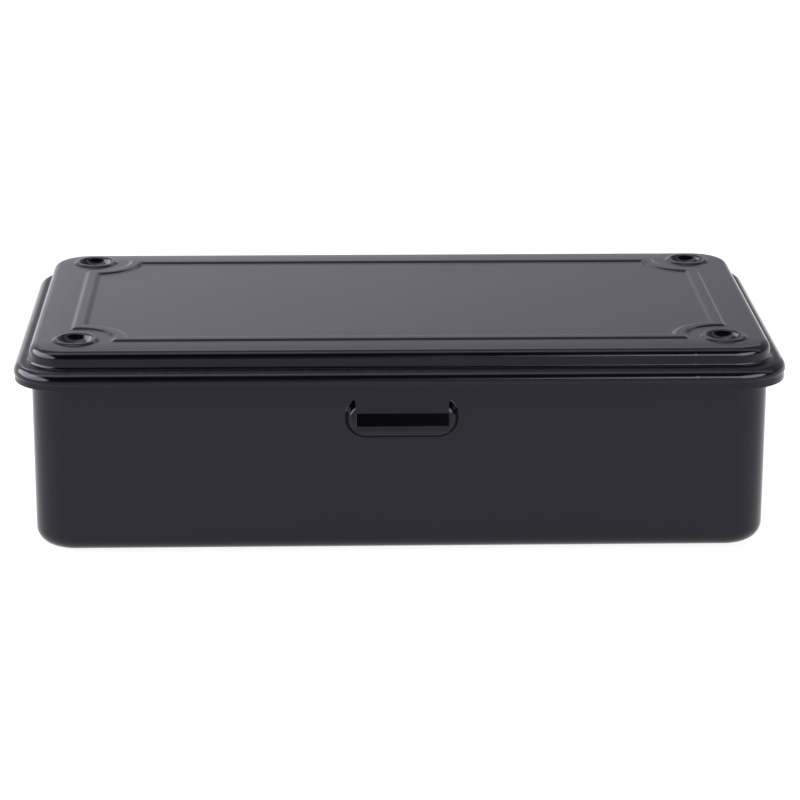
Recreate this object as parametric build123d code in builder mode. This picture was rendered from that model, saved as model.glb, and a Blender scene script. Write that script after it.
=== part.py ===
"""Small stackable tool box in pressed steel: a drawn body, a hinged lid that snaps shut at
the front, and a compartment tray that lifts out.

Millimetres. Origin at the middle of the base, X along the box, Y towards the hinges, Z up.
"""
import os

from build123d import *

# Sheet metal and clearances
SHEET = 0.6                 # thickness of every pressing
LEDGE_SHEET = 0.8           # thickness of the tray rests and finger lugs
FOOT_DEPTH = 0.8            # the drawn floor stands this far above the table
LID_GAP = 0.3               # between the body's rim and the lid's flange
WELD_GAP = 0.1              # between a welded divider and the tray's walls
OVERLAP = 0.1               # how far joined forms run into each other
NEAR = 0.01                 # tolerance for picking edges by position

# Lid: a raised crown inside a rolled-over flange and a short skirt
FLANGE_LENGTH = 203.0
FLANGE_WIDTH = 109.0
FLANGE_CORNER = 14.0
FLANGE_TOP = FOOT_DEPTH + 50.8
FLANGE_ROLL = 2.85          # radius over the flange's outer edge
CROWN_INSET = 3.65          # flange edge to crown wall, front and back
CROWN_END_INSET = 4.2       # the same at the ends
CROWN_TOP = FOOT_DEPTH + 55.65
CROWN_ROLL = 2.3            # radius over the crown's edge
CROWN_ROOT = 0.45           # concave radius at the crown's foot
FLANGE_UNDER_ROLL = 0.55    # radius under the flange's outer edge
SKIRT_TUCK = 0.7            # the skirt hangs this far inside the flange's roll
SKIRT_TOP = FOOT_DEPTH + 47.1
SKIRT_BOTTOM = FOOT_DEPTH + 44.8

# Stacking cups in the lid and stacking feet under the body
STACK_X = 85.2
STACK_Y = 39.8
CUP_OUTER = 6.2
CUP_RIM = 4.9               # radius of the raised rim's ridge
CUP_RIM_HEIGHT = 0.6
CUP_RIM_HALF = 0.3          # half the ridge's width
CUP_RIM_FALL = 0.15         # from the ridge's top to its sides
CUP_DEPTH = 2.6
CUP_UNDER = 5.0             # where the bowl's underside meets the rim's
FOOT_TOP_RADIUS = 4.2
FOOT_TIP_RADIUS = 3.1

# Stiffening bead on the crown, notched round the cups
BEAD_X = 85.1
BEAD_Y = 39.9
BEAD_NOTCH = 11.6
BEAD_HALF_WIDTH = 1.85
BEAD_HEIGHT = 0.45
BEAD_CHAMFER = 0.36

# Catch: a springy tab on the lid over a boss on the body
TAB_LENGTH = 24.0
TAB_CREASE = FOOT_DEPTH + 39.1
TAB_ROOT_FILLET = 2.9
LIP_REACH = 57.2            # the finger lip's front face, from the middle of the box
LIP_KNEE = TAB_CREASE - 1.7 # where the flare turns down into the front face
LIP_BOTTOM = FOOT_DEPTH + 34.6
LIP_RADIUS = 0.75
BOSS_LENGTH = 30.4
BOSS_HEIGHT = 11.5
BOSS_Z = FOOT_DEPTH + 37.15
BOSS_RISE = 2.6
BOSS_SLOPE = 34.0           # degrees

# Body: a deep-drawn pan with a curled rim
BODY_LENGTH = 194.3
BODY_WIDTH = 100.0
BODY_CORNER = 11.0
BODY_BASE_RADIUS = 4.0
RIM_TOP = FLANGE_TOP - SHEET - LID_GAP
RIM_WIDTH = 2.15
RIM_HEIGHT = 2.2
RIM_RADIUS = 1.0

# Hinges: one leaf each on the body, a rolled tab each on the lid
HINGE_X = 58.0
HINGE_LENGTH = 26.0
HINGE_Z = FOOT_DEPTH + 42.5
KNUCKLE_BORE = 1.4
KNUCKLE_OUTER = KNUCKLE_BORE + SHEET
LID_KNUCKLE = 12.0
KNUCKLE_GAP = 0.3
LEAF_BOTTOM = FOOT_DEPTH + 25.2
LEAF_BEND = 1.2
LEAF_CORNER = 1.2
PIN_RADIUS = 1.35
PIN_HEAD_RADIUS = 1.9
PIN_HEAD = 0.6
PIN_HEAD_ROLL = 0.36
RIVET_SPACING = 14.0
RIVET_Z = FOOT_DEPTH + 31.2
RIVET_RADIUS = 1.45
RIVET_HOLE = 1.5
RIVET_HEAD_RADIUS = 2.9
RIVET_HEAD = 1.2
RIVET_TAIL_RADIUS = 2.5
RIVET_TAIL = 0.7
RIVET_TAIL_CHAMFER = 0.4

# Tray rests, welded inside the ends of the body
REST_LENGTH = 70.0
REST_REACH = 7.0
REST_DROP = 8.0
REST_CORNER = 2.0
REST_BEND = 1.6
TRAY_BOTTOM = FOOT_DEPTH + 30.0

# Lift-out tray
TRAY_LENGTH = 186.0
TRAY_WIDTH = 95.0
TRAY_CORNER = 9.0
TRAY_TOP = FOOT_DEPTH + 47.5
TRAY_BASE_RADIUS = 2.5
HEM_WIDTH = 1.0
HEM_HEIGHT = 2.5
HEM_ROLL = 0.6
DIVIDER_TOP = TRAY_TOP - 3.0
LONG_DIVIDER_Y = 6.0
CROSS_DIVIDER_X = 31.0
DIVIDER_FOOT = 4.0
DIVIDER_CORNER = 2.4        # cut off each lower corner to clear the tray's bend
LUG_LENGTH = 26.0
LUG_BOTTOM = TRAY_BOTTOM + 5.2
LUG_TOP = TRAY_TOP + 3.2
LUG_REACH = 4.9
LUG_CURL = 1.6
LUG_BEND = 1.4
LUG_CORNER = 2.4
LUG_RIVET_SPACING = 18.0
LUG_RIVET_Z = TRAY_BOTTOM + 9.2
LUG_RIVET_RADIUS = 1.15
LUG_RIVET_HOLE = 1.2
LUG_RIVET_HEAD_RADIUS = 2.2
LUG_RIVET_HEAD = 0.8
LUG_RIVET_TAIL = 0.6
LUG_RIVET_TAIL_RADIUS = 1.9
LUG_RIVET_TAIL_CHAMFER = 0.2

# Worked out from the sizes above
SKIRT_LENGTH = FLANGE_LENGTH - 2 * SKIRT_TUCK
SKIRT_WIDTH = FLANGE_WIDTH - 2 * SKIRT_TUCK
SKIRT_CORNER = FLANGE_CORNER - SKIRT_TUCK
CROWN_LENGTH = FLANGE_LENGTH - 2 * CROWN_END_INSET
CROWN_WIDTH = FLANGE_WIDTH - 2 * CROWN_INSET
CROWN_CORNER = FLANGE_CORNER - CROWN_INSET
HINGE_Y = SKIRT_WIDTH / 2 - SHEET + KNUCKLE_OUTER
BACK_WALL = BODY_WIDTH / 2
END_WALL_INSIDE = BODY_LENGTH / 2 - SHEET
TRAY_END_INSIDE = TRAY_LENGTH / 2 - SHEET
TRAY_SIDE_INSIDE = TRAY_WIDTH / 2 - SHEET
TRAY_FLOOR = TRAY_BOTTOM + SHEET
STACK_POINTS = [(sx * STACK_X, sy * STACK_Y) for sx in (-1, 1) for sy in (-1, 1)]

os.makedirs("parts", exist_ok=True)


def rounded_slab(length, width, corner, bottom, top):
    """A block with rounded corners in plan, added to the part being built."""
    with BuildSketch(Plane.XY.offset(bottom)) as outline:
        RectangleRounded(length, width, corner)
    extrude(outline.sketch, amount=top - bottom)


def cap_drop(radius, height, reach):
    """How far a spherical cap has fallen from its pole at the given distance from its axis."""
    sphere = (radius ** 2 + height ** 2) / (2 * height)
    return sphere - (sphere ** 2 - reach ** 2) ** 0.5


def keep(name, label):
    """Label a finished piece and write its file."""
    name.part.label = label
    export_step(name.part, f"parts/{label}.step")


def lid_form(inset):
    """The lid's solid form, drawn in by the given amount on every face."""
    with BuildPart() as form:
        rounded_slab(FLANGE_LENGTH - 2 * inset, FLANGE_WIDTH - 2 * inset,
                     FLANGE_CORNER - inset, SKIRT_TOP + inset, FLANGE_TOP - inset)
        fillet(form.edges().group_by(Axis.Z)[-1], FLANGE_ROLL - inset)
        fillet(form.edges().group_by(Axis.Z)[0], FLANGE_UNDER_ROLL)
        rounded_slab(SKIRT_LENGTH - 2 * inset, SKIRT_WIDTH - 2 * inset,
                     SKIRT_CORNER - inset, SKIRT_BOTTOM, SKIRT_TOP + inset)
        rounded_slab(CROWN_LENGTH - 2 * inset, CROWN_WIDTH - 2 * inset,
                     CROWN_CORNER - inset, FLANGE_TOP - inset, CROWN_TOP - inset)
        fillet(form.edges().group_by(Axis.Z)[-1], CROWN_ROLL - inset)
        root = form.edges().filter_by_position(
            Axis.Z, FLANGE_TOP - inset - NEAR, FLANGE_TOP - inset + NEAR)
        crown_root = root.filter_by(
            lambda edge: abs(edge.center().Y) < CROWN_WIDTH / 2 - inset + NEAR
            and abs(edge.center().X) < CROWN_LENGTH / 2 - inset + NEAR)
        fillet(crown_root, CROWN_ROOT)
    return form.part


def bead_ring(half_width, bottom, height):
    """The bead's closed track, with a quarter-circle notch round each cup."""
    with BuildPart() as ring:
        with BuildSketch(Plane.XY.offset(bottom)):
            Rectangle(2 * (BEAD_X + half_width), 2 * (BEAD_Y + half_width))
            with Locations(*STACK_POINTS):
                Circle(BEAD_NOTCH - half_width, mode=Mode.SUBTRACT)
        extrude(amount=height)
        with BuildSketch(Plane.XY.offset(bottom)) as inside:
            Rectangle(2 * (BEAD_X - half_width), 2 * (BEAD_Y - half_width))
            with Locations(*STACK_POINTS):
                Circle(BEAD_NOTCH + half_width, mode=Mode.SUBTRACT)
        extrude(inside.sketch, amount=height, mode=Mode.SUBTRACT)
    return ring.part


def stacking_cup():
    """One cup: a raised rim round a concave bowl, on the Z axis."""
    rim_z = CROWN_TOP + CUP_RIM_HEIGHT
    bowl_z = CROWN_TOP - CUP_DEPTH
    lip_radius = CUP_RIM - CUP_RIM_HALF
    lip_z = rim_z - CUP_RIM_FALL
    bowl_height = lip_z - bowl_z
    bowl_radius = (lip_radius ** 2 + bowl_height ** 2) / (2 * bowl_height)
    centre_z = bowl_z + bowl_radius

    def bowl_point(r, radius):
        return (r, centre_z - (radius ** 2 - r ** 2) ** 0.5)

    under = bowl_radius + SHEET
    with BuildPart() as cup:
        with BuildSketch(Plane.XZ):
            with BuildLine():
                Line((0, bowl_z), (0, bowl_z - SHEET))
                ThreePointArc((0, bowl_z - SHEET), bowl_point(CUP_UNDER / 2, under),
                              bowl_point(CUP_UNDER, under))
                Polyline(bowl_point(CUP_UNDER, under),
                         (CUP_OUTER, CROWN_TOP - SHEET), (CUP_OUTER + OVERLAP, CROWN_TOP - SHEET),
                         (CUP_OUTER + OVERLAP, CROWN_TOP), (CUP_OUTER, CROWN_TOP),
                         (CUP_RIM + CUP_RIM_HALF, lip_z))
                ThreePointArc((CUP_RIM + CUP_RIM_HALF, lip_z), (CUP_RIM, rim_z),
                              (lip_radius, lip_z))
                ThreePointArc((lip_radius, lip_z), bowl_point(lip_radius / 2, bowl_radius),
                              (0, bowl_z))
            make_face()
        revolve(axis=Axis.Z)
    return cup.part


def catch_tab():
    """The lid's front tab, with filleted roots and a rolled finger lip."""
    front = SKIRT_WIDTH / 2
    with BuildPart() as tab:
        with BuildSketch(Plane.XZ.offset(front - SHEET)) as plate:
            with Locations((0, (TAB_CREASE + SKIRT_BOTTOM) / 2)):
                Rectangle(TAB_LENGTH, SKIRT_BOTTOM - TAB_CREASE)
            with Locations((0, SKIRT_BOTTOM + SHEET / 2)):
                Rectangle(TAB_LENGTH + 4 * TAB_ROOT_FILLET, SHEET)
            roots = plate.vertices().filter_by_position(
                Axis.Y, SKIRT_BOTTOM - NEAR, SKIRT_BOTTOM + NEAR)
            fillet(roots.filter_by(lambda v: abs(abs(v.X) - TAB_LENGTH / 2) < NEAR),
                   TAB_ROOT_FILLET)
        extrude(amount=SHEET)
        with BuildSketch(Plane.YZ.offset(-TAB_LENGTH / 2)):
            with BuildLine():
                FilletPolyline((-front, TAB_CREASE + SHEET), (-front, TAB_CREASE),
                               (-LIP_REACH, LIP_KNEE), (-LIP_REACH, LIP_BOTTOM),
                               (-LIP_REACH + 2 * LIP_RADIUS, LIP_BOTTOM), radius=LIP_RADIUS)
                offset(amount=SHEET, side=Side.LEFT)
            make_face()
        extrude(amount=TAB_LENGTH)
    return tab.part


def hinge_knuckle(centre_x, length):
    """A rolled barrel on the hinge axis, added to the part being built."""
    with BuildSketch(Plane.YZ.offset(centre_x - length / 2)) as barrel:
        with Locations((HINGE_Y, HINGE_Z)):
            Circle(KNUCKLE_OUTER)
            Circle(KNUCKLE_BORE, mode=Mode.SUBTRACT)
    extrude(barrel.sketch, amount=length)


def lid_hinge_tab(centre_x):
    """A tab under the lid's back skirt, rolled into the middle knuckle."""
    with BuildPart() as tab:
        with BuildSketch(Plane.YZ.offset(centre_x - LID_KNUCKLE / 2)):
            with Locations((SKIRT_WIDTH / 2 - SHEET / 2, (HINGE_Z + SKIRT_BOTTOM + SHEET) / 2)):
                Rectangle(SHEET, SKIRT_BOTTOM + SHEET - HINGE_Z)
        extrude(amount=LID_KNUCKLE)
        hinge_knuckle(centre_x, LID_KNUCKLE)
    return tab.part


def make_lid():
    """The lid, one pressing from crown to catch tab and hinge tabs."""
    outer = lid_form(0)
    inner = lid_form(SHEET)
    ridge = bead_ring(BEAD_HALF_WIDTH, CROWN_TOP - OVERLAP, BEAD_HEIGHT + OVERLAP)
    groove = bead_ring(BEAD_HALF_WIDTH / 2, CROWN_TOP - SHEET - OVERLAP, BEAD_HEIGHT)
    cup = stacking_cup()
    catch = catch_tab()
    hinge_tabs = [lid_hinge_tab(side * HINGE_X) for side in (-1, 1)]
    with BuildPart() as ridge_part:
        add(ridge)
        chamfer(ridge_part.edges().group_by(Axis.Z)[-1], BEAD_CHAMFER)
    with BuildPart() as lid_shell:
        add(outer)
        add(inner, mode=Mode.SUBTRACT)
        add(ridge_part.part)
        add(groove, mode=Mode.SUBTRACT)
        with Locations(*[(x, y, CROWN_TOP) for x, y in STACK_POINTS]):
            Cylinder(CUP_OUTER, 2 * CUP_DEPTH, mode=Mode.SUBTRACT)
        with Locations(*[(x, y, 0) for x, y in STACK_POINTS]):
            add(cup)
        add(catch)
        for tab in hinge_tabs:
            add(tab)
    keep(lid_shell, "lid_shell")


def body_form(inset):
    """The body's solid form, drawn in by the given amount."""
    with BuildPart() as form:
        rounded_slab(BODY_LENGTH - 2 * inset, BODY_WIDTH - 2 * inset, BODY_CORNER - inset,
                     FOOT_DEPTH + inset, RIM_TOP)
        fillet(form.edges().group_by(Axis.Z)[0], BODY_BASE_RADIUS - inset)
    return form.part


def catch_boss(inset):
    """The pill-shaped boss that the lid's tab snaps over, as a solid."""
    with BuildPart() as boss:
        with BuildSketch(Plane.XZ.offset(BODY_WIDTH / 2 - SHEET - OVERLAP)):
            with Locations((0, BOSS_Z)):
                SlotOverall(BOSS_LENGTH - inset, BOSS_HEIGHT - inset)
        extrude(amount=SHEET + OVERLAP)
        with BuildSketch(Plane.XZ.offset(BODY_WIDTH / 2)):
            with Locations((0, BOSS_Z)):
                SlotOverall(BOSS_LENGTH - inset, BOSS_HEIGHT - inset)
        extrude(amount=BOSS_RISE - inset, taper=BOSS_SLOPE)
    return boss.part


def make_body():
    """The body, one deep drawing with a curled rim, a boss and four feet."""
    outer = body_form(0)
    inner = body_form(SHEET)
    boss = catch_boss(0)
    boss_hollow = catch_boss(SHEET)
    rivet_x = [side * HINGE_X + end * RIVET_SPACING / 2 for side in (-1, 1) for end in (-1, 1)]
    with BuildPart() as rim:
        rounded_slab(BODY_LENGTH + 2 * RIM_WIDTH, BODY_WIDTH + 2 * RIM_WIDTH,
                     BODY_CORNER + RIM_WIDTH, RIM_TOP - RIM_HEIGHT, RIM_TOP)
        fillet(rim.edges().group_by(Axis.Z)[-1] + rim.edges().group_by(Axis.Z)[0], RIM_RADIUS)
    with BuildPart() as body_shell:
        add(outer)
        add(rim.part)
        add(boss)
        with Locations(*[(x, y, 0) for x, y in STACK_POINTS]):
            Cone(FOOT_TIP_RADIUS, FOOT_TOP_RADIUS, FOOT_DEPTH,
                 align=(Align.CENTER, Align.CENTER, Align.MIN))
        add(inner, mode=Mode.SUBTRACT)
        add(boss_hollow, mode=Mode.SUBTRACT)
        with Locations(*[(x, y, SHEET) for x, y in STACK_POINTS]):
            Cone(FOOT_TIP_RADIUS - SHEET, FOOT_TOP_RADIUS - SHEET, FOOT_DEPTH,
                 align=(Align.CENTER, Align.CENTER, Align.MIN), mode=Mode.SUBTRACT)
        with BuildSketch(Plane.XZ.offset(-BACK_WALL - SHEET)):
            with Locations(*[(x, RIVET_Z) for x in rivet_x]):
                Circle(RIVET_HOLE)
        extrude(amount=3 * SHEET, mode=Mode.SUBTRACT)
    keep(body_shell, "body_shell")


def make_hinge(side, word):
    """One hinge: the body leaf, its pin and its two rivets."""
    centre = side * HINGE_X
    rivet_x = [centre - RIVET_SPACING / 2, centre + RIVET_SPACING / 2]
    knuckle_length = (HINGE_LENGTH - LID_KNUCKLE) / 2 - KNUCKLE_GAP
    shelf_bottom = HINGE_Z - KNUCKLE_OUTER
    with BuildPart() as hinge_leaf:
        with BuildSketch(Plane.YZ.offset(centre - HINGE_LENGTH / 2)):
            with BuildLine():
                FilletPolyline((BACK_WALL, LEAF_BOTTOM), (BACK_WALL, shelf_bottom + SHEET),
                               (HINGE_Y, shelf_bottom + SHEET), radius=LEAF_BEND)
                offset(amount=SHEET, side=Side.RIGHT)
            make_face()
        extrude(amount=HINGE_LENGTH)
        for end in (-1, 1):
            hinge_knuckle(centre + end * (HINGE_LENGTH - knuckle_length) / 2, knuckle_length)
        with Locations((centre, HINGE_Y, HINGE_Z)):
            Box(LID_KNUCKLE + 2 * KNUCKLE_GAP, 2 * (KNUCKLE_OUTER + 2 * KNUCKLE_GAP),
                2 * (KNUCKLE_OUTER + KNUCKLE_GAP), mode=Mode.SUBTRACT)
            Cylinder(KNUCKLE_BORE, 2 * HINGE_LENGTH, rotation=(0, 90, 0), mode=Mode.SUBTRACT)
        with BuildSketch(Plane.XZ.offset(-BACK_WALL - 2 * SHEET)):
            with Locations(*[(x, RIVET_Z) for x in rivet_x]):
                Circle(RIVET_HOLE)
        extrude(amount=3 * SHEET, mode=Mode.SUBTRACT)
        fillet(hinge_leaf.edges().filter_by(Axis.Y).group_by(Axis.Z)[0], LEAF_CORNER)
    keep(hinge_leaf, f"hinge_leaf_{word}")

    with BuildPart() as hinge_pin:
        with BuildSketch(Plane.YZ.offset(centre - HINGE_LENGTH / 2 - PIN_HEAD)):
            with Locations((HINGE_Y, HINGE_Z)):
                Circle(PIN_RADIUS)
        extrude(amount=HINGE_LENGTH + 2 * PIN_HEAD)
        for head in (centre - HINGE_LENGTH / 2 - PIN_HEAD, centre + HINGE_LENGTH / 2):
            with BuildSketch(Plane.YZ.offset(head)):
                with Locations((HINGE_Y, HINGE_Z)):
                    Circle(PIN_HEAD_RADIUS)
            extrude(amount=PIN_HEAD)
        rims = hinge_pin.edges().filter_by(GeomType.CIRCLE).group_by(Axis.X)
        fillet(rims[0] + rims[-1], PIN_HEAD_ROLL)
    keep(hinge_pin, f"hinge_pin_{word}")

    crown = BACK_WALL + SHEET + RIVET_HEAD
    half = RIVET_HEAD_RADIUS / 2
    with BuildPart() as hinge_rivets:
        for x in rivet_x:
            with BuildSketch(Plane.YZ.offset(x)):
                with BuildLine():
                    Polyline((crown, RIVET_Z),
                             (BACK_WALL - SHEET - RIVET_TAIL, RIVET_Z),
                             (BACK_WALL - SHEET - RIVET_TAIL,
                              RIVET_Z + RIVET_TAIL_RADIUS - RIVET_TAIL_CHAMFER),
                             (BACK_WALL - SHEET, RIVET_Z + RIVET_TAIL_RADIUS),
                             (BACK_WALL - SHEET, RIVET_Z + RIVET_RADIUS),
                             (BACK_WALL + SHEET, RIVET_Z + RIVET_RADIUS),
                             (BACK_WALL + SHEET, RIVET_Z + RIVET_HEAD_RADIUS))
                    ThreePointArc((BACK_WALL + SHEET, RIVET_Z + RIVET_HEAD_RADIUS),
                                  (crown - cap_drop(RIVET_HEAD_RADIUS, RIVET_HEAD, half),
                                   RIVET_Z + half),
                                  (crown, RIVET_Z))
                make_face()
            revolve(axis=Axis((x, 0, RIVET_Z), (0, 1, 0)))
    keep(hinge_rivets, f"hinge_rivets_{word}")


def make_tray_rest(side, word):
    """An angle ledge inside one end of the body, welded on."""
    wall = side * END_WALL_INSIDE
    inner_side = Side.LEFT if side > 0 else Side.RIGHT
    with BuildPart() as tray_rest:
        with BuildSketch(Plane.XZ.offset(-REST_LENGTH / 2)):
            with BuildLine():
                FilletPolyline((wall, TRAY_BOTTOM - REST_DROP), (wall, TRAY_BOTTOM),
                               (wall - side * REST_REACH, TRAY_BOTTOM), radius=REST_BEND)
                offset(amount=LEDGE_SHEET, side=inner_side)
            make_face()
        extrude(amount=REST_LENGTH)
        tips = tray_rest.edges().filter_by(Axis.Z).sort_by(Axis.X)
        fillet(tips[:2] if side > 0 else tips[-2:], REST_CORNER)
    keep(tray_rest, f"tray_rest_{word}")


def tray_form(inset):
    """The tray's solid form, drawn in by the given amount."""
    with BuildPart() as form:
        rounded_slab(TRAY_LENGTH - 2 * inset, TRAY_WIDTH - 2 * inset, TRAY_CORNER - inset,
                     TRAY_BOTTOM + inset, TRAY_TOP)
        fillet(form.edges().group_by(Axis.Z)[0], TRAY_BASE_RADIUS - inset)
    return form.part


def make_tray():
    """The tray, one shallow pressing with a hemmed rim."""
    outer = tray_form(0)
    inner = tray_form(SHEET)
    with BuildPart() as hem:
        rounded_slab(TRAY_LENGTH + 2 * HEM_WIDTH, TRAY_WIDTH + 2 * HEM_WIDTH,
                     TRAY_CORNER + HEM_WIDTH, TRAY_TOP - HEM_HEIGHT, TRAY_TOP)
        fillet(hem.edges().group_by(Axis.Z)[-1] + hem.edges().group_by(Axis.Z)[0], HEM_ROLL)
    with BuildPart() as tray_shell:
        add(outer)
        add(hem.part)
        add(inner, mode=Mode.SUBTRACT)
        with BuildSketch(Plane.YZ.offset(-TRAY_LENGTH)):
            with GridLocations(LUG_RIVET_SPACING, 1, 2, 1):
                with Locations((0, LUG_RIVET_Z)):
                    Circle(LUG_RIVET_HOLE)
        extrude(amount=2 * TRAY_LENGTH, mode=Mode.SUBTRACT)
    keep(tray_shell, "tray_shell")


def divider_outline(low, high):
    """An upright plate's outline, with its lower corners cut to clear a bend."""
    with BuildLine() as edge:
        Polyline((low, DIVIDER_TOP), (high, DIVIDER_TOP), (high, TRAY_FLOOR + DIVIDER_CORNER),
                 (high - DIVIDER_CORNER, TRAY_FLOOR), (low + DIVIDER_CORNER, TRAY_FLOOR),
                 (low, TRAY_FLOOR + DIVIDER_CORNER), close=True)
    make_face(edge.edges())


def make_dividers():
    """A full-length divider, and two cross dividers behind it."""
    divider_end = TRAY_END_INSIDE - LEDGE_SHEET - WELD_GAP
    with BuildPart() as tray_divider_long:
        with BuildSketch(Plane.XZ.offset(-LONG_DIVIDER_Y - SHEET / 2)):
            divider_outline(-divider_end, divider_end)
        extrude(amount=SHEET)
        with Locations((0, LONG_DIVIDER_Y - (SHEET + DIVIDER_FOOT) / 2, TRAY_FLOOR)):
            Box(2 * (TRAY_END_INSIDE - 2 * DIVIDER_CORNER), DIVIDER_FOOT, SHEET,
                align=(Align.CENTER, Align.CENTER, Align.MIN))
    keep(tray_divider_long, "tray_divider_long")

    for side, word in ((-1, "left"), (1, "right")):
        front = LONG_DIVIDER_Y + SHEET / 2
        back = TRAY_SIDE_INSIDE - WELD_GAP
        with BuildPart() as tray_divider:
            with BuildSketch(Plane.YZ.offset(side * CROSS_DIVIDER_X - SHEET / 2)):
                divider_outline(front, back)
            extrude(amount=SHEET)
            foot_x = side * (CROSS_DIVIDER_X + (SHEET + DIVIDER_FOOT) / 2)
            with Locations((foot_x, (front + back) / 2, TRAY_FLOOR)):
                Box(DIVIDER_FOOT, back - front - 2 * DIVIDER_CORNER, SHEET,
                    align=(Align.CENTER, Align.CENTER, Align.MIN))
        keep(tray_divider, f"tray_divider_{word}")


def make_lug(side, word):
    """A finger lug inside one end of the tray, with its two rivets."""
    wall = side * TRAY_END_INSIDE
    inner_side = Side.LEFT if side > 0 else Side.RIGHT
    rivet_y = [-LUG_RIVET_SPACING / 2, LUG_RIVET_SPACING / 2]
    with BuildPart() as tray_lug:
        with BuildSketch(Plane.XZ.offset(-LUG_LENGTH / 2)):
            with BuildLine():
                FilletPolyline((wall, LUG_BOTTOM), (wall, LUG_TOP),
                               (wall - side * LUG_REACH, LUG_TOP),
                               (wall - side * LUG_REACH, LUG_TOP - LUG_CURL - LUG_BEND),
                               radius=LUG_BEND)
                offset(amount=LEDGE_SHEET, side=inner_side)
            make_face()
        extrude(amount=LUG_LENGTH)
        corners = tray_lug.edges().filter_by(Axis.X).group_by(Axis.Z)[0]
        fillet(corners, LUG_CORNER)
        with BuildSketch(Plane.YZ.offset(wall - 2 * LEDGE_SHEET)):
            with Locations(*[(y, LUG_RIVET_Z) for y in rivet_y]):
                Circle(LUG_RIVET_HOLE)
        extrude(amount=4 * LEDGE_SHEET, mode=Mode.SUBTRACT)
    keep(tray_lug, f"tray_lug_{word}")

    head = wall - side * LEDGE_SHEET
    tail = wall + side * SHEET
    crown = head - side * LUG_RIVET_HEAD
    half = LUG_RIVET_HEAD_RADIUS / 2
    drop = cap_drop(LUG_RIVET_HEAD_RADIUS, LUG_RIVET_HEAD, half)
    with BuildPart() as lug_rivets:
        for y in rivet_y:
            with BuildSketch(Plane.XZ.offset(-y)):
                with BuildLine():
                    Polyline((crown, LUG_RIVET_Z),
                             (tail + side * LUG_RIVET_TAIL, LUG_RIVET_Z),
                             (tail + side * LUG_RIVET_TAIL,
                              LUG_RIVET_Z + LUG_RIVET_TAIL_RADIUS - LUG_RIVET_TAIL_CHAMFER),
                             (tail, LUG_RIVET_Z + LUG_RIVET_TAIL_RADIUS),
                             (tail, LUG_RIVET_Z + LUG_RIVET_RADIUS),
                             (head, LUG_RIVET_Z + LUG_RIVET_RADIUS),
                             (head, LUG_RIVET_Z + LUG_RIVET_HEAD_RADIUS))
                    ThreePointArc((head, LUG_RIVET_Z + LUG_RIVET_HEAD_RADIUS),
                                  (crown + side * drop, LUG_RIVET_Z + half), (crown, LUG_RIVET_Z))
                make_face()
            revolve(axis=Axis((0, y, LUG_RIVET_Z), (1, 0, 0)))
    keep(lug_rivets, f"tray_lug_rivets_{word}")


make_body()
make_lid()
make_tray()
make_dividers()
for hand, hand_word in ((-1, "left"), (1, "right")):
    make_hinge(hand, hand_word)
    make_tray_rest(hand, hand_word)
    make_lug(hand, hand_word)
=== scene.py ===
import math

import bpy
import numpy as np
from mathutils import Matrix, Vector


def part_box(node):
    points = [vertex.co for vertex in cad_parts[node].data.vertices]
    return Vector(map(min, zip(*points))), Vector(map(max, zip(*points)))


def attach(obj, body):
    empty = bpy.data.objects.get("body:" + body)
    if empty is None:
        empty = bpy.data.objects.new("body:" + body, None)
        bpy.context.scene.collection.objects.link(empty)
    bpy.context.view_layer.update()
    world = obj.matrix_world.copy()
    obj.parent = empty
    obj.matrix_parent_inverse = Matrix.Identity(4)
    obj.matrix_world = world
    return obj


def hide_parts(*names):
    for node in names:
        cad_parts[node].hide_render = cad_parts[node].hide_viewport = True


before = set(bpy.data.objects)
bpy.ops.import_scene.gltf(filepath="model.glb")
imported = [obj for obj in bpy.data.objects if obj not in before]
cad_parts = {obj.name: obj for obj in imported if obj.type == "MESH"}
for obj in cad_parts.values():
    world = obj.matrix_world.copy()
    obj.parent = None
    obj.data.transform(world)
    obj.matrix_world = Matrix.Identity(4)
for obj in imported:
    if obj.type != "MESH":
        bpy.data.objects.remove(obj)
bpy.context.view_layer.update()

# ---------------------------------------------------------------------------------------------
# Sizes, in millimetres. The outer sizes come from the frame.
# ---------------------------------------------------------------------------------------------
MM = 0.001
SHEET = 0.6
EDGE_ROUND = 0.16           # how far a sheet's painted edge bulges

lid_low, lid_high = [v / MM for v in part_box("lid_shell")]
_, body_high = [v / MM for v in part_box("body_shell")]
tray_low, tray_high = [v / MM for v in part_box("tray_shell")]
pin_low, pin_high = [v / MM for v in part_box("hinge_pin_right")]

# The lid's outline, from its crown out over the flange and down to the skirt's edge
FOOT_DEPTH = 0.8
FLANGE_X = lid_high.x
FLANGE_Y = FLANGE_X - 47.0
FLANGE_CORNER = 14.0
FLANGE_ROLL = 2.55
FLANGE_TOP = FOOT_DEPTH + 50.6
CROWN_INSET = 3.65          # front and back
CROWN_END_INSET = 4.2       # at the ends
SPREAD_START = 70.0         # along X, where the front's inset starts to turn into the ends'
SPREAD_RUN = 17.0
CROWN_ROLL = 2.3
CROWN_ROOT = 1.05           # the hollow round where the crown meets the flange
CUP_RIM_HEIGHT = 0.6
CROWN_TOP = lid_high.z - CUP_RIM_HEIGHT
BORDER_FALL = 0.22          # the crown curves down this much from the bead to its edge
BORDER_WIDTH = 6.6
SKIRT_TUCK = 0.2            # the skirt stands this far inside the flange
TUCK_HEIGHT = 0.45
TUCK_OUTER_ROUND = 0.3
TUCK_INNER_ROUND = 0.4
SKIRT_TOP = FOOT_DEPTH + 47.4
SKIRT_BOTTOM = FOOT_DEPTH + 44.8
SKIRT_START = SKIRT_TOP - 0.8   # rows of even height run from here down to the edge
SKIRT_ROWS = 6
SKIRT_LIFT = 1.2            # the skirt's edge is this much higher round the corners,
FRONT_RIGHT_LIFT = 0.7      # and only this much at the front right one, which hangs lower
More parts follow.
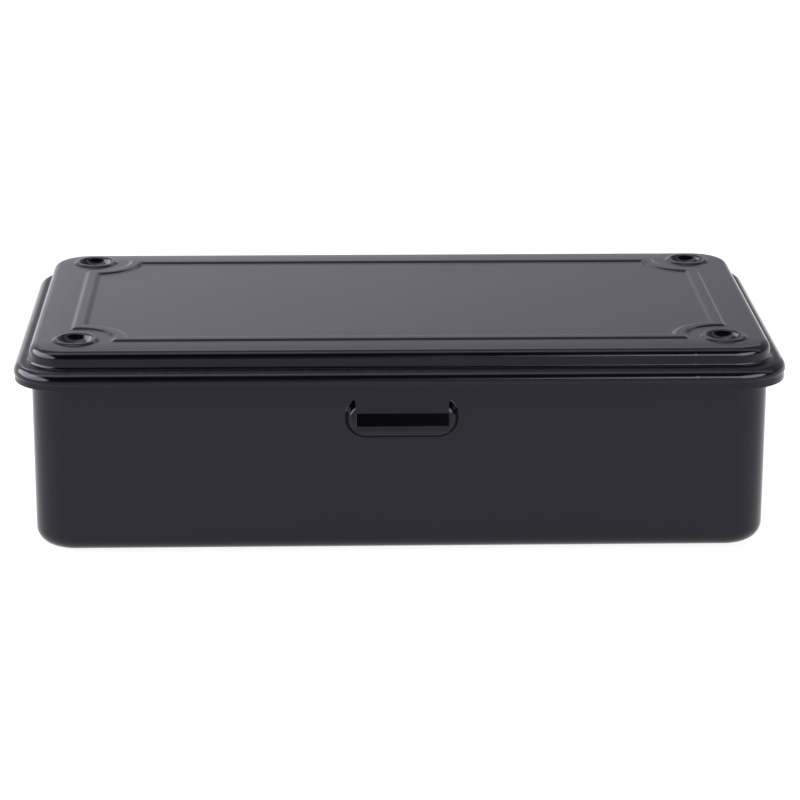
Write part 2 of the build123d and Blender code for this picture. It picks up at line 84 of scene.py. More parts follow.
LIFT_START = 4.5            # where the edge starts to rise, before the corner's centre
LIFT_END = -2.5

# The stacking cups, and the feet under them
STACK_X = 85.2
STACK_Y = 39.8
CUP_FOOT = 6.15             # the radius where the rim's outer slope starts
CUP_RIM = 4.8
CUP_BOWL = 4.65             # the round bowl's radius at the rim
CUP_DEPTH = 2.6
CUP_EDGE_ROUND = 0.25       # how wide the rim's inner edge is rounded
FOOT_RADIUS = 3.9
FOOT_SLOPE = 1.4

# The stiffening bead, which has a notch round each cup
BEAD_X = 85.1
BEAD_Y = 39.9
BEAD_NOTCH = 11.6           # the notch's radius
BEAD_HALF_WIDTH = 2.3
BEAD_SLOPE = 1.35           # how wide each side slope of the bead is
BEAD_HEIGHT = 0.55

# The catch tab with its finger lip, and the two tabs that roll round the hinge pins
TAB_HALF = 12.0
TAB_FILLET = 2.9
TAB_ROOT = SKIRT_BOTTOM - TAB_FILLET
TAB_CREASE = FOOT_DEPTH + 39.5
TAB_CREASE_ROUND = 0.5
LIP_REACH = -lid_low.y - 0.6
LIP_KNEE_REACH = LIP_REACH - 0.15
LIP_KNEE = TAB_CREASE - 2.75
LIP_KNEE_ROUND = 0.6
LIP_BOTTOM = lid_low.z
LIP_ROUND = 0.75
LIP_CURL = 1.5              # how far the lip's edge is turned back
HINGE_X = 58.0
HINGE_TAB_HALF = 6.0
HINGE_FILLET = 1.2
HINGE_Y = (pin_low.y + pin_high.y) / 2
HINGE_Z = (pin_low.z + pin_high.z) / 2
KNUCKLE_BORE = 1.4
KNUCKLE_LEAD = 0.4          # the tab runs straight to this far above the pin's axis

# The body, with the boss that the lip snaps over
BODY_IN_X = 97.02 - SHEET
BODY_IN_Y = 49.9 - SHEET
BODY_CORNER = 11.0 - SHEET
BODY_BASE = 4.0             # the round between the floor and the walls
RIM_TOP = body_high.z
RIM_OUT = body_high.x - BODY_IN_X
RIM_START = RIM_TOP - 2.5
RIM_ROLL = 1.1
RIM_CURL = 1.6              # how far the rim's edge is turned back
BOSS_HALF = 15.2
BOSS_RADIUS = 5.75
BOSS_Z = FOOT_DEPTH + 37.15
BOSS_RISE = 2.6
BOSS_SLOPE = 1.9
BOSS_MARGIN = 0.3           # the slope ends this far inside the boss's outline

# The tray
TRAY_TOP = tray_high.z
TRAY_HEM = 1.0              # how far the rim is turned out from the wall
TRAY_HEM_ROUND = 0.7
TRAY_HEM_DEPTH = 2.5
TRAY_HEM_START = TRAY_TOP - 1.5
TRAY_CORNER = 8.4
TRAY_BASE = 1.9

# How finely the sheets are divided
FINE = 0.3                  # round the cups and the bead's notches
FINE_BODY = 0.5             # at the body's ends, for its corners and feet
FINE_BOSS = 0.4
FINE_TRAY = 0.6
COARSE = 8.0
PAST_NOTCH = 3.5            # the fine part starts this far before a notch
CORNER_BLEND = 0.4          # the share of a corner's grid that stays square
RING_END = (6.4, 8.8)       # towards the edge, circles turn back into squares between these
RING_INNER_END = (13.4, 20.0)   # and towards the middle, between these
RING_REACH = 21.0           # nothing is moved that is further in than this
FACES_OUT = 0.99            # the least part of a direction that counts as straight out


def spaced(start, *runs):
    """Places from start outwards: each run is (end, step), and the steps divide it evenly."""
    places = [start]
    for end, step in runs:
        count = max(1, math.ceil(abs(end - places[-1]) / step - 1e-6))
        places += list(np.linspace(places[-1], end, count + 1)[1:])
    return places


def mirrored(places):
    """The same places on both sides of 0."""
    right = [p for p in places if p > 1e-9]
    return [-p for p in reversed(right)] + [0.0] + right


def rounded_path(corners, arc_step=12.0):
    """Points along a line whose corners are (x, y, radius). Ends have radius 0."""
    path = [corners[0][:2]]
    for before, corner, after in zip(corners, corners[1:], corners[2:]):
        here = Vector(corner[:2])
        to_before = (Vector(before[:2]) - here).normalized()
        to_after = (Vector(after[:2]) - here).normalized()
        turn = math.pi - to_before.angle(to_after)
        radius = corner[2]
        if radius == 0 or turn < 1e-4:
            path.append(tuple(here))
            continue
        tangent = radius * math.tan(turn / 2)
        centre = here + (to_before + to_after).normalized() * math.hypot(radius, tangent)
        first = here + to_before * tangent - centre
        last = here + to_after * tangent - centre
        steps = max(2, math.ceil(math.degrees(turn) / arc_step))
        for i in range(steps + 1):
            share = i / steps
            arm = first * math.sin((1 - share) * turn) + last * math.sin(share * turn)
            path.append(tuple(centre + arm / math.sin(turn)) if turn < math.pi - 1e-3
                        else tuple(centre + first))
    path.append(corners[-1][:2])
    kept = [path[0]]
    for point in path[1:]:
        if (Vector(point) - Vector(kept[-1])).length > 1e-4:
            kept.append(point)
    return kept


def smooth(value):
    """0 below 0, 1 above 1, and an even slope between."""
    t = np.clip(value, 0.0, 1.0)
    return t * t * (3 - 2 * t)


def soft_min(a, b, width):
    """The lower of a and b, with the join between them rounded over width."""
    h = np.clip(0.5 + 0.5 * (b - a) / width, 0.0, 1.0)
    return b + (a - b) * h - width * h * (1 - h)


class Surface:
    """Points and faces of one side of a sheet, in millimetres."""

    def __init__(self):
        self.points = []
        self.faces = []

    def add(self, point):
        self.points.append(point)
        return len(self.points) - 1

    def strip(self, row_a, row_b, closed=False):
        """Quads between two rows of the same length."""
        count = len(row_a)
        for i in range(count if closed else count - 1):
            j = (i + 1) % count
            self.faces.append((row_a[i], row_a[j], row_b[j], row_b[i]))


def round_corner(x, y, half_x, half_y, radius):
    """Moves points of a rectangle so that its outline has round corners."""
    u = np.maximum(np.abs(x) - (half_x - radius), 0.0)
    v = np.maximum(np.abs(y) - (half_y - radius), 0.0)
    reach = np.maximum(u, v) / radius
    length = np.hypot(u, v) + 1e-12
    share = np.maximum(u, v) / length
    blend = (reach - CORNER_BLEND) / (1 - CORNER_BLEND)
    shrink = 1 - (1 - share) * np.clip(blend, 0.0, 1.0)
    corner_x = (half_x - radius) + u * shrink
    corner_y = (half_y - radius) + v * shrink
    in_corner = (u > 0) & (v > 0)
    x = np.where(in_corner, np.sign(x) * corner_x, x)
    y = np.where(in_corner, np.sign(y) * corner_y, y)
    return x, y


def ring_lines(x, y):
    """Turns the grid's squares round each stacking point into circles, for even round shapes.
    Further out they turn back into squares."""
    centre_x = np.sign(x) * STACK_X
    centre_y = np.sign(y) * STACK_Y
    dx = x - centre_x
    dy = y - centre_y
    inward = (dx * np.sign(x) < 0) & (dy * np.sign(y) < 0)
    square = np.maximum(np.abs(dx), np.abs(dy))
    length = np.hypot(dx, dy) + 1e-12
    share = square / length
    start = np.where(inward, RING_INNER_END[0], RING_END[0])
    end = np.where(inward, RING_INNER_END[1], RING_END[1])
    weight = 1 - np.clip((square - start) / (end - start), 0.0, 1.0)
    shrink = 1 - (1 - share) * weight
    inside = (np.abs(x) > STACK_X - RING_REACH) & (np.abs(y) > STACK_Y - RING_REACH)
    x = np.where(inside, centre_x + dx * shrink, x)
    y = np.where(inside, centre_y + dy * shrink, y)
    return x, y


def plate(surface, xs, ys, half_x, half_y, radius, height, warp=None):
    """A plate on the grid of xs and ys. Returns its outline: points and outward directions."""
    grid_x, grid_y = np.meshgrid(np.array(xs), np.array(ys))
    if warp:
        grid_x, grid_y = warp(grid_x, grid_y)
    px, py = round_corner(grid_x, grid_y, half_x, half_y, radius)
    pz = height(px, py)
    rows = [[surface.add((px[j, i], py[j, i], pz[j, i])) for i in range(len(xs))]
            for j in range(len(ys))]
    for low, high in zip(rows, rows[1:]):
        surface.strip(low, high)
    loop = rows[0][:]
    loop += [row[-1] for row in rows[1:]]
    loop += list(reversed(rows[-1][:-1]))
    loop += [row[0] for row in reversed(rows[1:-1])]
    outline = []
    for index in loop:
        x, y, _ = surface.points[index]
        u = max(abs(x) - (half_x - radius), 0.0)
        v = max(abs(y) - (half_y - radius), 0.0)
        length = math.hypot(u, v)
        outward = (math.copysign(u / length, x), math.copysign(v / length, y))
        outline.append((index, x, y, outward))
    return outline


def end_shift(x, share):
    """How far out along X a place on the lid's outline moves, as it spreads near its ends."""
    spread = CROWN_END_INSET - CROWN_INSET
    along = float(smooth((abs(x) - SPREAD_START) / SPREAD_RUN))
    return math.copysign(spread * share * along, x)


def skirted(surface, outline, path, push_of=None, spread_of=None):
    """Carries a plate's outline along a path of (offset, z). Returns the rows of indices."""
    rows = [[index for index, _, _, _ in outline]]
    for offset, z in path:
        row = []
        share = spread_of(offset) if spread_of else 0.0
        for _, x, y, (nx, ny) in outline:
            reach = offset + (push_of(x, y, nx, ny, z) if push_of else 0.0)
            side = end_shift(x, share) if share else 0.0
            row.append(surface.add((x + nx * reach + side, y + ny * reach, z)))
        surface.strip(row, rows[-1], closed=True)
        rows.append(row)
    return rows


def thickened(name, surface, thickness):
    """A closed sheet: the surface, its other face, and a rounded edge all round."""
    faces = surface.faces
    mesh = bpy.data.meshes.new(name)
    mesh.from_pydata([tuple(p) for p in surface.points], [], faces)
    mesh.update()
    count = len(mesh.vertices)
    normals = np.empty(count * 3, np.float32)
    mesh.vertex_normals.foreach_get("vector", normals)
    normals = normals.reshape(-1, 3).astype(float)
    outer = np.array(surface.points, float)
    inner = outer - normals * thickness
    sides = dict.fromkeys(side for face in faces for side in zip(face, face[1:] + face[:1]))
    border = [(a, b) for a, b in sides if (b, a) not in sides]
    follow = {a: b for a, b in border}
    lead = {b: a for a, b in border}
    points = [tuple(p) for p in outer] + [tuple(p) for p in inner]
    all_faces = list(faces) + [tuple(i + count for i in reversed(f)) for f in faces]
    arc = [math.radians(d) for d in (30, 60, 90, 120, 150)]
    rim = {}
    for a in follow:
        along = outer[follow[a]] - outer[lead[a]]
        out = np.cross(along, normals[a])
        out /= np.linalg.norm(out) + 1e-12
        middle = outer[a] - normals[a] * thickness / 2
        rim[a] = [a]
        for angle in arc:
            spot = (middle + normals[a] * thickness / 2 * math.cos(angle)
                    + out * EDGE_ROUND * math.sin(angle))
            points.append(tuple(spot))
            rim[a].append(len(points) - 1)
        rim[a].append(a + count)
    for a, b in border:
        for (a0, a1), (b0, b1) in zip(zip(rim[a], rim[a][1:]), zip(rim[b], rim[b][1:])):
            all_faces.append((b0, a0, a1, b1))
    bpy.data.meshes.remove(mesh)
    mesh = bpy.data.meshes.new(name)
    mesh.from_pydata([(x * MM, y * MM, z * MM) for x, y, z in points], [], all_faces)
    mesh.update()
    mesh.polygons.foreach_set("use_smooth", [True] * len(mesh.polygons))
    sharp = {frozenset(e) for e in border} | {frozenset((a + count, b + count)) for a, b in border}
    for edge in mesh.edges:
        if frozenset(edge.vertices) in sharp:
            edge.use_edge_sharp = True
    piece = bpy.data.objects.new(name, mesh)
    bpy.context.scene.collection.objects.link(piece)
    return piece


# ---------------------------------------------------------------------------------------------
# Lid
# ---------------------------------------------------------------------------------------------
PLATE_X = FLANGE_X - CROWN_END_INSET - CROWN_ROLL
PLATE_Y = FLANGE_Y - CROWN_INSET - CROWN_ROLL
PLATE_CORNER = FLANGE_CORNER - CROWN_INSET - CROWN_ROLL


def bead_height(x, y):
    """The height of the bead, a low rounded rib."""
    ax, ay = np.abs(x), np.abs(y)
    from_cup = np.hypot(ax - STACK_X, ay - STACK_Y)
    edge = np.maximum(ax - BEAD_X, ay - BEAD_Y)
    notch = BEAD_NOTCH - from_cup
    track = np.abs(np.maximum(edge, notch))
    return BEAD_HEIGHT * smooth((BEAD_HALF_WIDTH - track) / BEAD_SLOPE)


def border_fall(x, y):
    """How far the crown has sloped down towards its edge."""
    qx = np.abs(x) - (PLATE_X - PLATE_CORNER)
    qy = np.abs(y) - (PLATE_Y - PLATE_CORNER)
    outside = np.hypot(np.maximum(qx, 0.0), np.maximum(qy, 0.0))
    inside = PLATE_CORNER - outside - np.minimum(np.maximum(qx, qy), 0.0)
    return BORDER_FALL * np.clip(1 - inside / BORDER_WIDTH, 0.0, 1.0) ** 2


def cup_height(x, y):
    """The height of a stacking cup: a raised rim round a ball-shaped bowl."""
    r = np.hypot(np.abs(x) - STACK_X, np.abs(y) - STACK_Y)
    rim = CUP_RIM_HEIGHT
    outer = rim * (1 - np.clip((r - CUP_RIM) / (CUP_FOOT - CUP_RIM), 0.0, 1.0) ** 3)
    depth = CUP_DEPTH + rim
    ball = (CUP_BOWL ** 2 + depth ** 2) / (2 * depth)
    wall = rim + ball - depth - np.sqrt(np.maximum(ball ** 2 - r ** 2, 0.0))
    wall = np.where(r < ball, wall, depth + ball)
    return soft_min(outer, wall, CUP_EDGE_ROUND)


def lid_height(x, y):
    return CROWN_TOP - border_fall(x, y) + bead_height(x, y) + cup_height(x, y)


def edge_of_skirt(x, y, nx, ny):
    """How low the skirt hangs at a place on its outline."""
    low = SKIRT_BOTTOM
    corner_x = FLANGE_X - FLANGE_CORNER
    corner_y = FLANGE_Y - FLANGE_CORNER
    run = LIFT_START - LIFT_END
    along = abs(x) - corner_x if abs(ny) > abs(nx) else abs(y) - corner_y
    lift = FRONT_RIGHT_LIFT if x > 0 and y < 0 else SKIRT_LIFT
    low += lift * float(smooth((along + LIFT_START) / run))
    if ny < -FACES_OUT and abs(x) < TAB_HALF + TAB_FILLET:
        across = max(TAB_HALF + TAB_FILLET - abs(x), 0.0)
        across = min(across, TAB_FILLET)
        low = TAB_ROOT + math.sqrt(max(TAB_FILLET ** 2 - across ** 2, 0.0))
    beside = abs(abs(x) - HINGE_X)
    if ny > FACES_OUT and beside < HINGE_TAB_HALF + HINGE_FILLET:
        across = min(max(HINGE_TAB_HALF + HINGE_FILLET - beside, 0.0), HINGE_FILLET)
        rise = math.sqrt(max(HINGE_FILLET ** 2 - across ** 2, 0.0))
        low = SKIRT_BOTTOM - HINGE_FILLET + rise
    return low


def fillet_lines(start, end, radius):
    """Lines that space a concave fillet's arc evenly; its steep end is at start."""
    sign = 1 if end > start else -1
    return [start + sign * radius * (1 - math.cos(math.radians(d))) for d in range(0, 91, 15)]


def lid_lines():
    """The lid's grid lines along X, with extra ones at the tabs, the bead and the cups."""
    right = spaced(0.0, (TAB_HALF, 3.0))
    right += fillet_lines(TAB_HALF, TAB_HALF + TAB_FILLET, TAB_FILLET)[1:]
    low, high = HINGE_X - HINGE_TAB_HALF, HINGE_X + HINGE_TAB_HALF
    right += spaced(right[-1], (low - HINGE_FILLET, 6.0))[1:]
    right += list(reversed(fillet_lines(low, low - HINGE_FILLET, HINGE_FILLET)))[1:]
    right += spaced(low, (high, 3.0))[1:]
    right += fillet_lines(high, high + HINGE_FILLET, HINGE_FILLET)[1:]
    notch = STACK_X - BEAD_NOTCH - PAST_NOTCH
    right += spaced(right[-1], (notch, 3.0), (STACK_X, FINE), (PLATE_X, FINE))[1:]
    return mirrored(right)


def make_lid():
    """The lid: one sheet from the crown out to the skirt's edge, with its three tabs."""
    surface = Surface()
    xs = lid_lines()
    notch = STACK_Y - BEAD_NOTCH - PAST_NOTCH
    ys = mirrored(spaced(0.0, (notch, 5.0), (STACK_Y, FINE), (PLATE_Y, FINE)))
    outline = plate(surface, xs, ys, PLATE_X, PLATE_Y, PLATE_CORNER, lid_height, ring_lines)
    crown = CROWN_ROLL
    flange = CROWN_ROLL + CROWN_INSET
    skirt = flange - SKIRT_TUCK
    edge_z = CROWN_TOP - BORDER_FALL
    path = rounded_path([
        (0.0, edge_z, 0), (crown, edge_z, CROWN_ROLL), (crown, FLANGE_TOP, CROWN_ROOT),
        (flange, FLANGE_TOP, FLANGE_ROLL),
        (flange, SKIRT_TOP + TUCK_HEIGHT, TUCK_OUTER_ROUND),
        (skirt, SKIRT_TOP, TUCK_INNER_ROUND), (skirt, SKIRT_START, 0)], 5.0)[1:]

    def spread(offset):
        return min(max((offset - crown) / (flange - FLANGE_ROLL - crown), 0.0), 1.0)

    rows = skirted(surface, outline, path, spread_of=spread)
    last = surface.points[rows[-1][0]][2]

    def hanging(x, y, nx, ny, step):
        share = (step + 1) / SKIRT_ROWS
        return last + (edge_of_skirt(x, y, nx, ny) - last) * share

    bottom = skirted_from(surface, rows[-1], outline, skirt, hanging, SKIRT_ROWS)
    add_catch(surface, bottom, outline)
    add_hinge_tabs(surface, bottom, outline)
    return thickened("lid", surface, SHEET)


def skirted_from(surface, first_row, outline, offset, height_of, steps):
    """More rows straight down from a row that is already there. Returns the lowest."""
    lowest = first_row
    for step in range(steps):
        row = []
        for _, x, y, (nx, ny) in outline:
            z = height_of(x, y, nx, ny, step)
            side = end_shift(x, 1.0)
            row.append(surface.add((x + nx * offset + side, y + ny * offset, z)))
        surface.strip(row, lowest, closed=True)
        lowest = row
    return lowest


def tab_columns(bottom, outline, side, low, high):
    """The bottom-edge points of one tab, in the outline's order. side is 1 at the back."""
    found = []
    for index, (_, x, _, (_, ny)) in zip(bottom, outline):
        if ny * side > FACES_OUT and low - 1e-6 <= x <= high + 1e-6:
            found.append((x, index))
    found.sort(reverse=side > 0)
    return [index for _, index in found]


def hang(surface, columns, path, side):
    """Carries a tab's columns along a path of (distance from the middle plane, z)."""
    row = columns
    for out, z in path:
        new = [surface.add((surface.points[i][0], side * out, z)) for i in columns]
        surface.strip(new, row)
        row = new


def add_catch(surface, bottom, outline):
    """The catch tab: straight down, flared out to a finger lip, and curled under."""
    columns = tab_columns(bottom, outline, -1, -TAB_HALF, TAB_HALF)
    face = -surface.points[columns[0]][1]
    path = rounded_path([
        (face, TAB_ROOT, 0), (face, TAB_CREASE, TAB_CREASE_ROUND),
        (LIP_KNEE_REACH, LIP_KNEE, LIP_KNEE_ROUND), (LIP_REACH, LIP_BOTTOM, LIP_ROUND),
        (LIP_REACH - LIP_CURL, LIP_BOTTOM, 0)], 12.0)[1:]
    hang(surface, columns, path, -1)


def add_hinge_tabs(surface, bottom, outline):
    """Two tabs on the back skirt, each rolled round its hinge pin."""
    for side in (-1, 1):
        centre = side * HINGE_X
        columns = tab_columns(bottom, outline, 1, centre - HINGE_TAB_HALF,
                              centre + HINGE_TAB_HALF)
        path = [(HINGE_Y - KNUCKLE_BORE, HINGE_Z + KNUCKLE_LEAD)]
        for degrees in range(180, 521, 15):
            angle = math.radians(degrees)
            path.append((HINGE_Y + KNUCKLE_BORE * math.cos(angle),
                         HINGE_Z + KNUCKLE_BORE * math.sin(angle)))
        hang(surface, columns, path, 1)


# ---------------------------------------------------------------------------------------------
# Body and tray: drawn pans
# ---------------------------------------------------------------------------------------------
def make_pan(name, half_x, half_y, corner, floor_z, base_radius, rim, xs, ys, wall_rows,
             height=None, push=None):
    """A drawn pan. half_x and half_y are its inside half sizes; rim is the path of its edge."""
    surface = Surface()
    flat_x, flat_y = half_x - base_radius, half_y - base_radius
    flat_corner = corner - base_radius

    def floor(x, y):
        return floor_z + (height(x, y) if height else 0.0 * x)

    outline = plate(surface, xs, ys, flat_x, flat_y, flat_corner, floor)
    bend = rounded_path([(0.0, floor_z, 0), (base_radius, floor_z, base_radius),
                         (base_radius, wall_rows[0], 0)], 9.0)[1:]
    wall = [(base_radius, z) for z in wall_rows[1:]]
    path = bend + wall + [(base_radius + out, z) for out, z in rim]
    skirted(surface, outline, path, push_of=push)
    return thickened(name, surface, SHEET)


def feet_height(x, y):
    """Four shallow stacking feet pressed down out of the floor."""
    r = np.hypot(np.abs(x) - STACK_X, np.abs(y) - STACK_Y)
    return -FOOT_DEPTH * smooth((FOOT_RADIUS - r) / FOOT_SLOPE)


def boss_push(x, y, nx, ny, z):
    """How far the front wall stands out at the catch boss."""
    if ny > -FACES_OUT:
        return 0.0
    beyond = max(abs(x) - (BOSS_HALF - BOSS_RADIUS), 0.0)
    inside = BOSS_RADIUS - BOSS_MARGIN - math.hypot(beyond, z - BOSS_Z)
    return BOSS_RISE * float(smooth(inside / BOSS_SLOPE))


def make_body():
    """The body: a drawn pan with four feet, the catch boss and an outward rolled rim."""
    flat_x, flat_y = BODY_IN_X - BODY_BASE, BODY_IN_Y - BODY_BASE
    xs = mirrored(spaced(0.0, (7.0, 3.5), (17.0, FINE_BOSS), (79.0, COARSE), (flat_x, FINE_BODY)))
    ys = mirrored(spaced(0.0, (33.0, COARSE), (flat_y, FINE_BODY)))
    under = RIM_TOP - 2 * RIM_ROLL
    rim = rounded_path([
        (0.0, RIM_START, 0), (0.0, RIM_TOP, RIM_ROLL), (RIM_OUT, RIM_TOP, RIM_ROLL),
        (RIM_OUT, under, RIM_ROLL), (RIM_OUT - RIM_CURL, under, 0)], 12.0)
    floor_z = FOOT_DEPTH + SHEET
    rows = spaced(floor_z + BODY_BASE, (BOSS_Z - 7.0, 4.0), (BOSS_Z + 7.0, FINE_BOSS),
                  (RIM_TOP - 3.0, 2.0))
    return make_pan("body", BODY_IN_X, BODY_IN_Y, BODY_CORNER, floor_z, BODY_BASE, rim,
                    xs, ys, rows, feet_height, boss_push)


def make_tray():
    """The tray: a shallow pan with a turned-down rim."""
    out = TRAY_HEM + SHEET
    half_x, half_y = tray_high.x - TRAY_HEM - SHEET, tray_high.y - TRAY_HEM - SHEET
    floor_z = tray_low.z + SHEET
    xs = mirrored(spaced(0.0, (half_x - 11.0, COARSE), (half_x - TRAY_BASE, FINE_TRAY)))
    ys = mirrored(spaced(0.0, (half_y - 11.0, COARSE), (half_y - TRAY_BASE, FINE_TRAY)))
    rim = rounded_path([
        (0.0, TRAY_HEM_START, 0), (0.0, TRAY_TOP, TRAY_HEM_ROUND),
        (out, TRAY_TOP, TRAY_HEM_ROUND), (out, TRAY_TOP - TRAY_HEM_DEPTH, 0)], 15.0)
    rows = spaced(tray_low.z + SHEET + TRAY_BASE, (TRAY_TOP - 2.0, 4.0))
    return make_pan("tray", half_x, half_y, TRAY_CORNER, floor_z, TRAY_BASE, rim, xs, ys, rows)


# ---------------------------------------------------------------------------------------------
# Materials
# ---------------------------------------------------------------------------------------------
class Tree:
    """A node tree with short ways to add nodes. An input takes a value or another's output."""

    def __init__(self, tree):
        self.nodes = tree.nodes
        self.links = tree.links

    def put(self, value, target):
        """Sets an input to a value, or joins it to an output."""
        if isinstance(value, bpy.types.NodeSocket):
            self.links.new(value, target)
        else:
            target.default_value = value

    def add(self, kind, inputs=None, **settings):
        """A new node's outputs. inputs goes from the name or place of an input to its value."""
        node = self.nodes.new("ShaderNode" + kind)
        for name, value in settings.items():
            setattr(node, name, value)
        for name, value in (inputs or {}).items():
            self.put(value, node.inputs[name])
        return node.outputs

    def math(self, operation, *values):
        return self.add("Math", dict(enumerate(values)), operation=operation)[0]

    def noise(self, where, scale, detail, distortion=0.0):
        inputs = {"Vector": where, "Scale": scale, "Detail": detail, "Distortion": distortion}
        return self.add("TexNoise", inputs)["Fac"]

    def ranged(self, value, from_range, to_range=(0.0, 1.0), **settings):
        """The value's place in from_range, carried over to to_range."""
        inputs = {"Value": value, "From Min": from_range[0], "From Max": from_range[1],
                  "To Min": to_range[0], "To Max": to_range[1]}
        return self.add("MapRange", inputs, **settings)["Result"]

    def ramp(self, share, stops):
        """A colour that runs through stops of (share, colour)."""
        node = self.nodes.new("ShaderNodeValToRGB")
        elements = node.color_ramp.elements
        while len(elements) < len(stops):
            elements.new(0.5)
        for element, (place, colour) in zip(elements, stops):
            element.position = place
            element.color = (*colour, 1)
        self.put(share, node.inputs["Fac"])
        return node.outputs["Color"]


def new_material(name):
    """A new material, its tree, and the inputs of its shader."""
    material = bpy.data.materials.new(name)
    material.use_nodes = True
    tree = Tree(material.node_tree)
    return material, tree, tree.nodes["Principled BSDF"].inputs


def enamel(name, crease=None):
    """Semi-gloss black stoving enamel on steel: orange peel, faint smudges, a little dust.
    crease is the lowest, middle and highest metre of a band where spray has settled dry,
    so it is grainy and less glossy."""
    material, tree, shader = new_material(name)
    where = tree.add("TexCoord")["Object"]
    shader["IOR"].default_value = 1.36
    shader["Specular Tint"].default_value = (0.97, 0.97, 1.2, 1)

    tone = tree.ramp(tree.noise(where, 40.0, 4.0),
                     [(0.0, (0.0010, 0.0010, 0.0013)), (1.0, (0.0019, 0.0019, 0.0024))])
    specks = tree.add("TexVoronoi", {"Vector": where, "Scale": 160.0})
    small = tree.math("LESS_THAN", specks["Distance"], 0.02)
    chance = tree.add("SeparateColor", {"Color": specks["Color"]})["Red"]
    dust = tree.math("MULTIPLY", small, tree.math("GREATER_THAN", chance, 0.8))
    dusty = tree.add("Mix", {"Factor": dust, "A": tone, "B": (0.22, 0.21, 0.20, 1)},
                     data_type="RGBA")["Result"]

    smudges = tree.noise(where, 28.0, 5.0, distortion=0.6)
    roughness = tree.ranged(smudges, (0.35, 0.7), (0.13, 0.19))
    peel = {"Strength": 0.25, "Distance": 0.00002, "Height": tree.noise(where, 1100.0, 2.0)}
    normal = tree.add("Bump", peel)["Normal"]

    if crease:
        low, middle, high = crease
        height = tree.add("SeparateXYZ", {"Vector": where})["Z"]
        inside = tree.math("MULTIPLY", tree.ranged(height, (low, middle)),
                           tree.ranged(height, (high, middle)))
        grain = tree.math("MULTIPLY", inside, tree.noise(where, 2000.0, 3.0))
        roughness = tree.math("MULTIPLY_ADD", grain, 0.5, roughness)
        grit = {"Strength": 1.0, "Distance": 0.0006, "Height": grain, "Normal": normal}
        normal = tree.add("Bump", grit)["Normal"]

    tree.put(dusty, shader["Base Color"])
    tree.put(roughness, shader["Roughness"])
    tree.put(normal, shader["Normal"])
    return material


def plated():
    """Zinc-plated steel: dull, slightly mottled."""
    material, tree, shader = new_material("zinc_plate")
    where = tree.add("TexCoord")["Object"]
    shader["Metallic"].default_value = 1.0
    mottle = tree.noise(where, 900.0, 4.0)
    tone = tree.ramp(mottle, [(0.0, (0.40, 0.41, 0.42)), (1.0, (0.62, 0.62, 0.60))])
    tree.put(tone, shader["Base Color"])
    tree.put(tree.ranged(mottle, (0.0, 1.0), (0.28, 0.42)), shader["Roughness"])
    return material


# ---------------------------------------------------------------------------------------------
# Studio, in metres and degrees
# ---------------------------------------------------------------------------------------------
FLOOR_SIZE = 40.0
BAND_AHEAD = 0.30           # the dimmer band's middle is this far in front of the box's middle
BAND_EDGE = (0.06, 0.13)    # from the band's middle, it brightens between these distances
BAND_GLOW = (0.58, 0.88)    # the floor's glow in the band and outside it

WORLD_LIGHT = [             # (height in degrees from the front over the top to the back, light)
    (0.0, 0.28), (4.0, 0.30), (12.0, 0.30), (20.0, 0.01), (67.0, 0.01), (78.0, 2.3),
    (92.0, 2.3), (101.0, 0.7), (116.0, 0.6), (135.0, 0.58), (155.0, 0.66), (180.0, 0.74)]
WORLD_TINT = (1.01, 1.0, 1.11)
WORLD_GAIN = 4.0            # keeps the ramp's colours below 1
WORLD_SIDES = (1.3, 0.7)    # the world is this much brighter on the left than on the right
WORLD_SIDES_RUN = (-0.2, 0.2)

CAMERA_PLACE = (-0.0240, -0.7817, 0.2711)
CAMERA_PITCH = 17.33
CAMERA_HEADING = 1.84
CAMERA_ROLL = 0.19
CAMERA_LENS = 132.34        # in millimetres, on a sensor of this width
CAMERA_SENSOR = 36.0


def make_floor():
    """A white light table, with a slightly dimmer band in front of the box."""
    bpy.ops.mesh.primitive_plane_add(size=FLOOR_SIZE, location=(0, 0, 0))
    floor = bpy.context.object
    floor.name = "studio_floor"
    material, tree, shader = new_material("studio_floor")
    shader["Base Color"].default_value = (0.2, 0.2, 0.198, 1)
    shader["Roughness"].default_value = 0.9
    shader["Specular IOR Level"].default_value = 0.0
    shader["Emission Color"].default_value = (1, 1, 1, 1)
    where = tree.add("TexCoord")["Object"]
    ahead = tree.math("ADD", tree.add("SeparateXYZ", {"Vector": where})["Y"], BAND_AHEAD)
    glow = tree.ranged(tree.math("ABSOLUTE", ahead), BAND_EDGE, BAND_GLOW,
                       interpolation_type="SMOOTHSTEP")
    tree.put(glow, shader["Emission Strength"])
    floor.data.materials.append(material)


def make_world():
    """Bright overhead, dimmer behind and dark in front, a little brighter on the left."""
    world = bpy.data.worlds.new("studio")
    bpy.context.scene.world = world
    world.use_nodes = True
    tree = Tree(world.node_tree)
    background = tree.nodes["Background"].inputs
    parts = tree.add("SeparateXYZ", {"Vector": tree.add("TexCoord")["Generated"]})
    front = tree.math("MULTIPLY", parts["Y"], -1.0)
    angle = tree.math("DIVIDE", tree.math("ARCTAN2", parts["Z"], front), math.pi)
    stops = [(degrees / 180.0, [light * tint / WORLD_GAIN for tint in WORLD_TINT])
             for degrees, light in WORLD_LIGHT]
    side = tree.ranged(parts["X"], WORLD_SIDES_RUN, WORLD_SIDES)
    shade = {"Vector": tree.ramp(angle, stops), "Scale": side}
    tree.put(tree.add("VectorMath", shade, operation="SCALE")["Vector"], background["Color"])
    background["Strength"].default_value = WORLD_GAIN


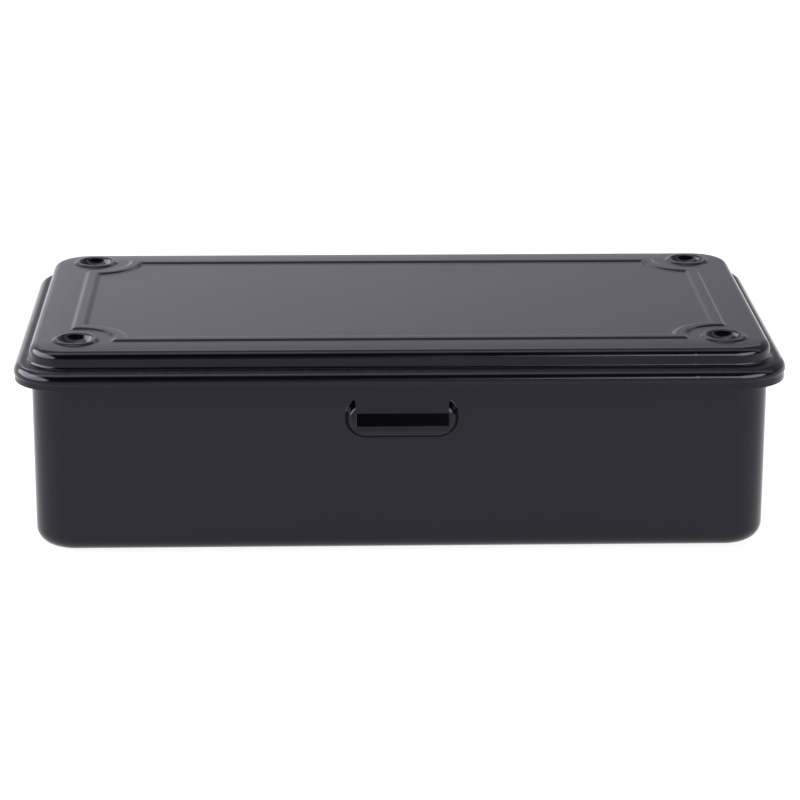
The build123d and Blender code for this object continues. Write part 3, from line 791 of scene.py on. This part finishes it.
def softbox(name, heading, height_angle, distance, width, height, glow):
    """A soft light seen from the box at this heading (0 = front, 90 = right) and height."""
    data = bpy.data.lights.new(name, "AREA")
    data.shape = "ELLIPSE"
    data.size, data.size_y = width, height
    data.energy = glow * math.pi * width * height
    light = bpy.data.objects.new(name, data)
    bpy.context.scene.collection.objects.link(light)
    turn, lift = math.radians(heading), math.radians(height_angle)
    place = Vector((math.sin(turn) * math.cos(lift), -math.cos(turn) * math.cos(lift),
                    math.sin(lift))) * distance
    light.location = place
    light.rotation_euler = (-place).to_track_quat("-Z", "Y").to_euler()


def make_camera():
    """The camera, at the photograph's angle."""
    data = bpy.data.cameras.new("camera")
    data.lens = CAMERA_LENS
    data.sensor_width = CAMERA_SENSOR
    camera = bpy.data.objects.new("camera", data)
    bpy.context.scene.collection.objects.link(camera)
    turn = (Matrix.Rotation(math.radians(-CAMERA_HEADING), 4, "Z")
            @ Matrix.Rotation(math.radians(90 - CAMERA_PITCH), 4, "X")
            @ Matrix.Rotation(math.radians(CAMERA_ROLL), 4, "Z"))
    camera.matrix_world = Matrix.Translation(CAMERA_PLACE) @ turn
    bpy.context.scene.camera = camera


# ---------------------------------------------------------------------------------------------
# Assembly
# ---------------------------------------------------------------------------------------------
CREASE = (0.0511, 0.0514, 0.0517)   # heights round the root of the crown, in metres

black = enamel("black_enamel")
lid_black = enamel("black_enamel_lid", CREASE)
zinc = plated()

for piece, node, carrier, paint in ((make_lid(), "lid_shell", "lid", lid_black),
                                    (make_body(), "body_shell", "box", black),
                                    (make_tray(), "tray_shell", "tray", black)):
    piece.data.materials.append(paint)
    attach(piece, carrier)
    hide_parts(node)

for name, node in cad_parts.items():
    finish = zinc if "pin" in name or "rivets" in name else black
    for slot in node.material_slots:
        slot.material = finish

make_floor()
make_world()
softbox("softbox_left", heading=-86, height_angle=22, distance=1.5,
        width=2.8, height=1.0, glow=4.8)
softbox("softbox_right", heading=38, height_angle=21, distance=1.5,
        width=1.8, height=0.7, glow=5.5)
softbox("backdrop_light", heading=180, height_angle=42, distance=2.1,
        width=2.4, height=0.8, glow=0.8)
make_camera()
bpy.context.scene.view_settings.view_transform = "Standard"
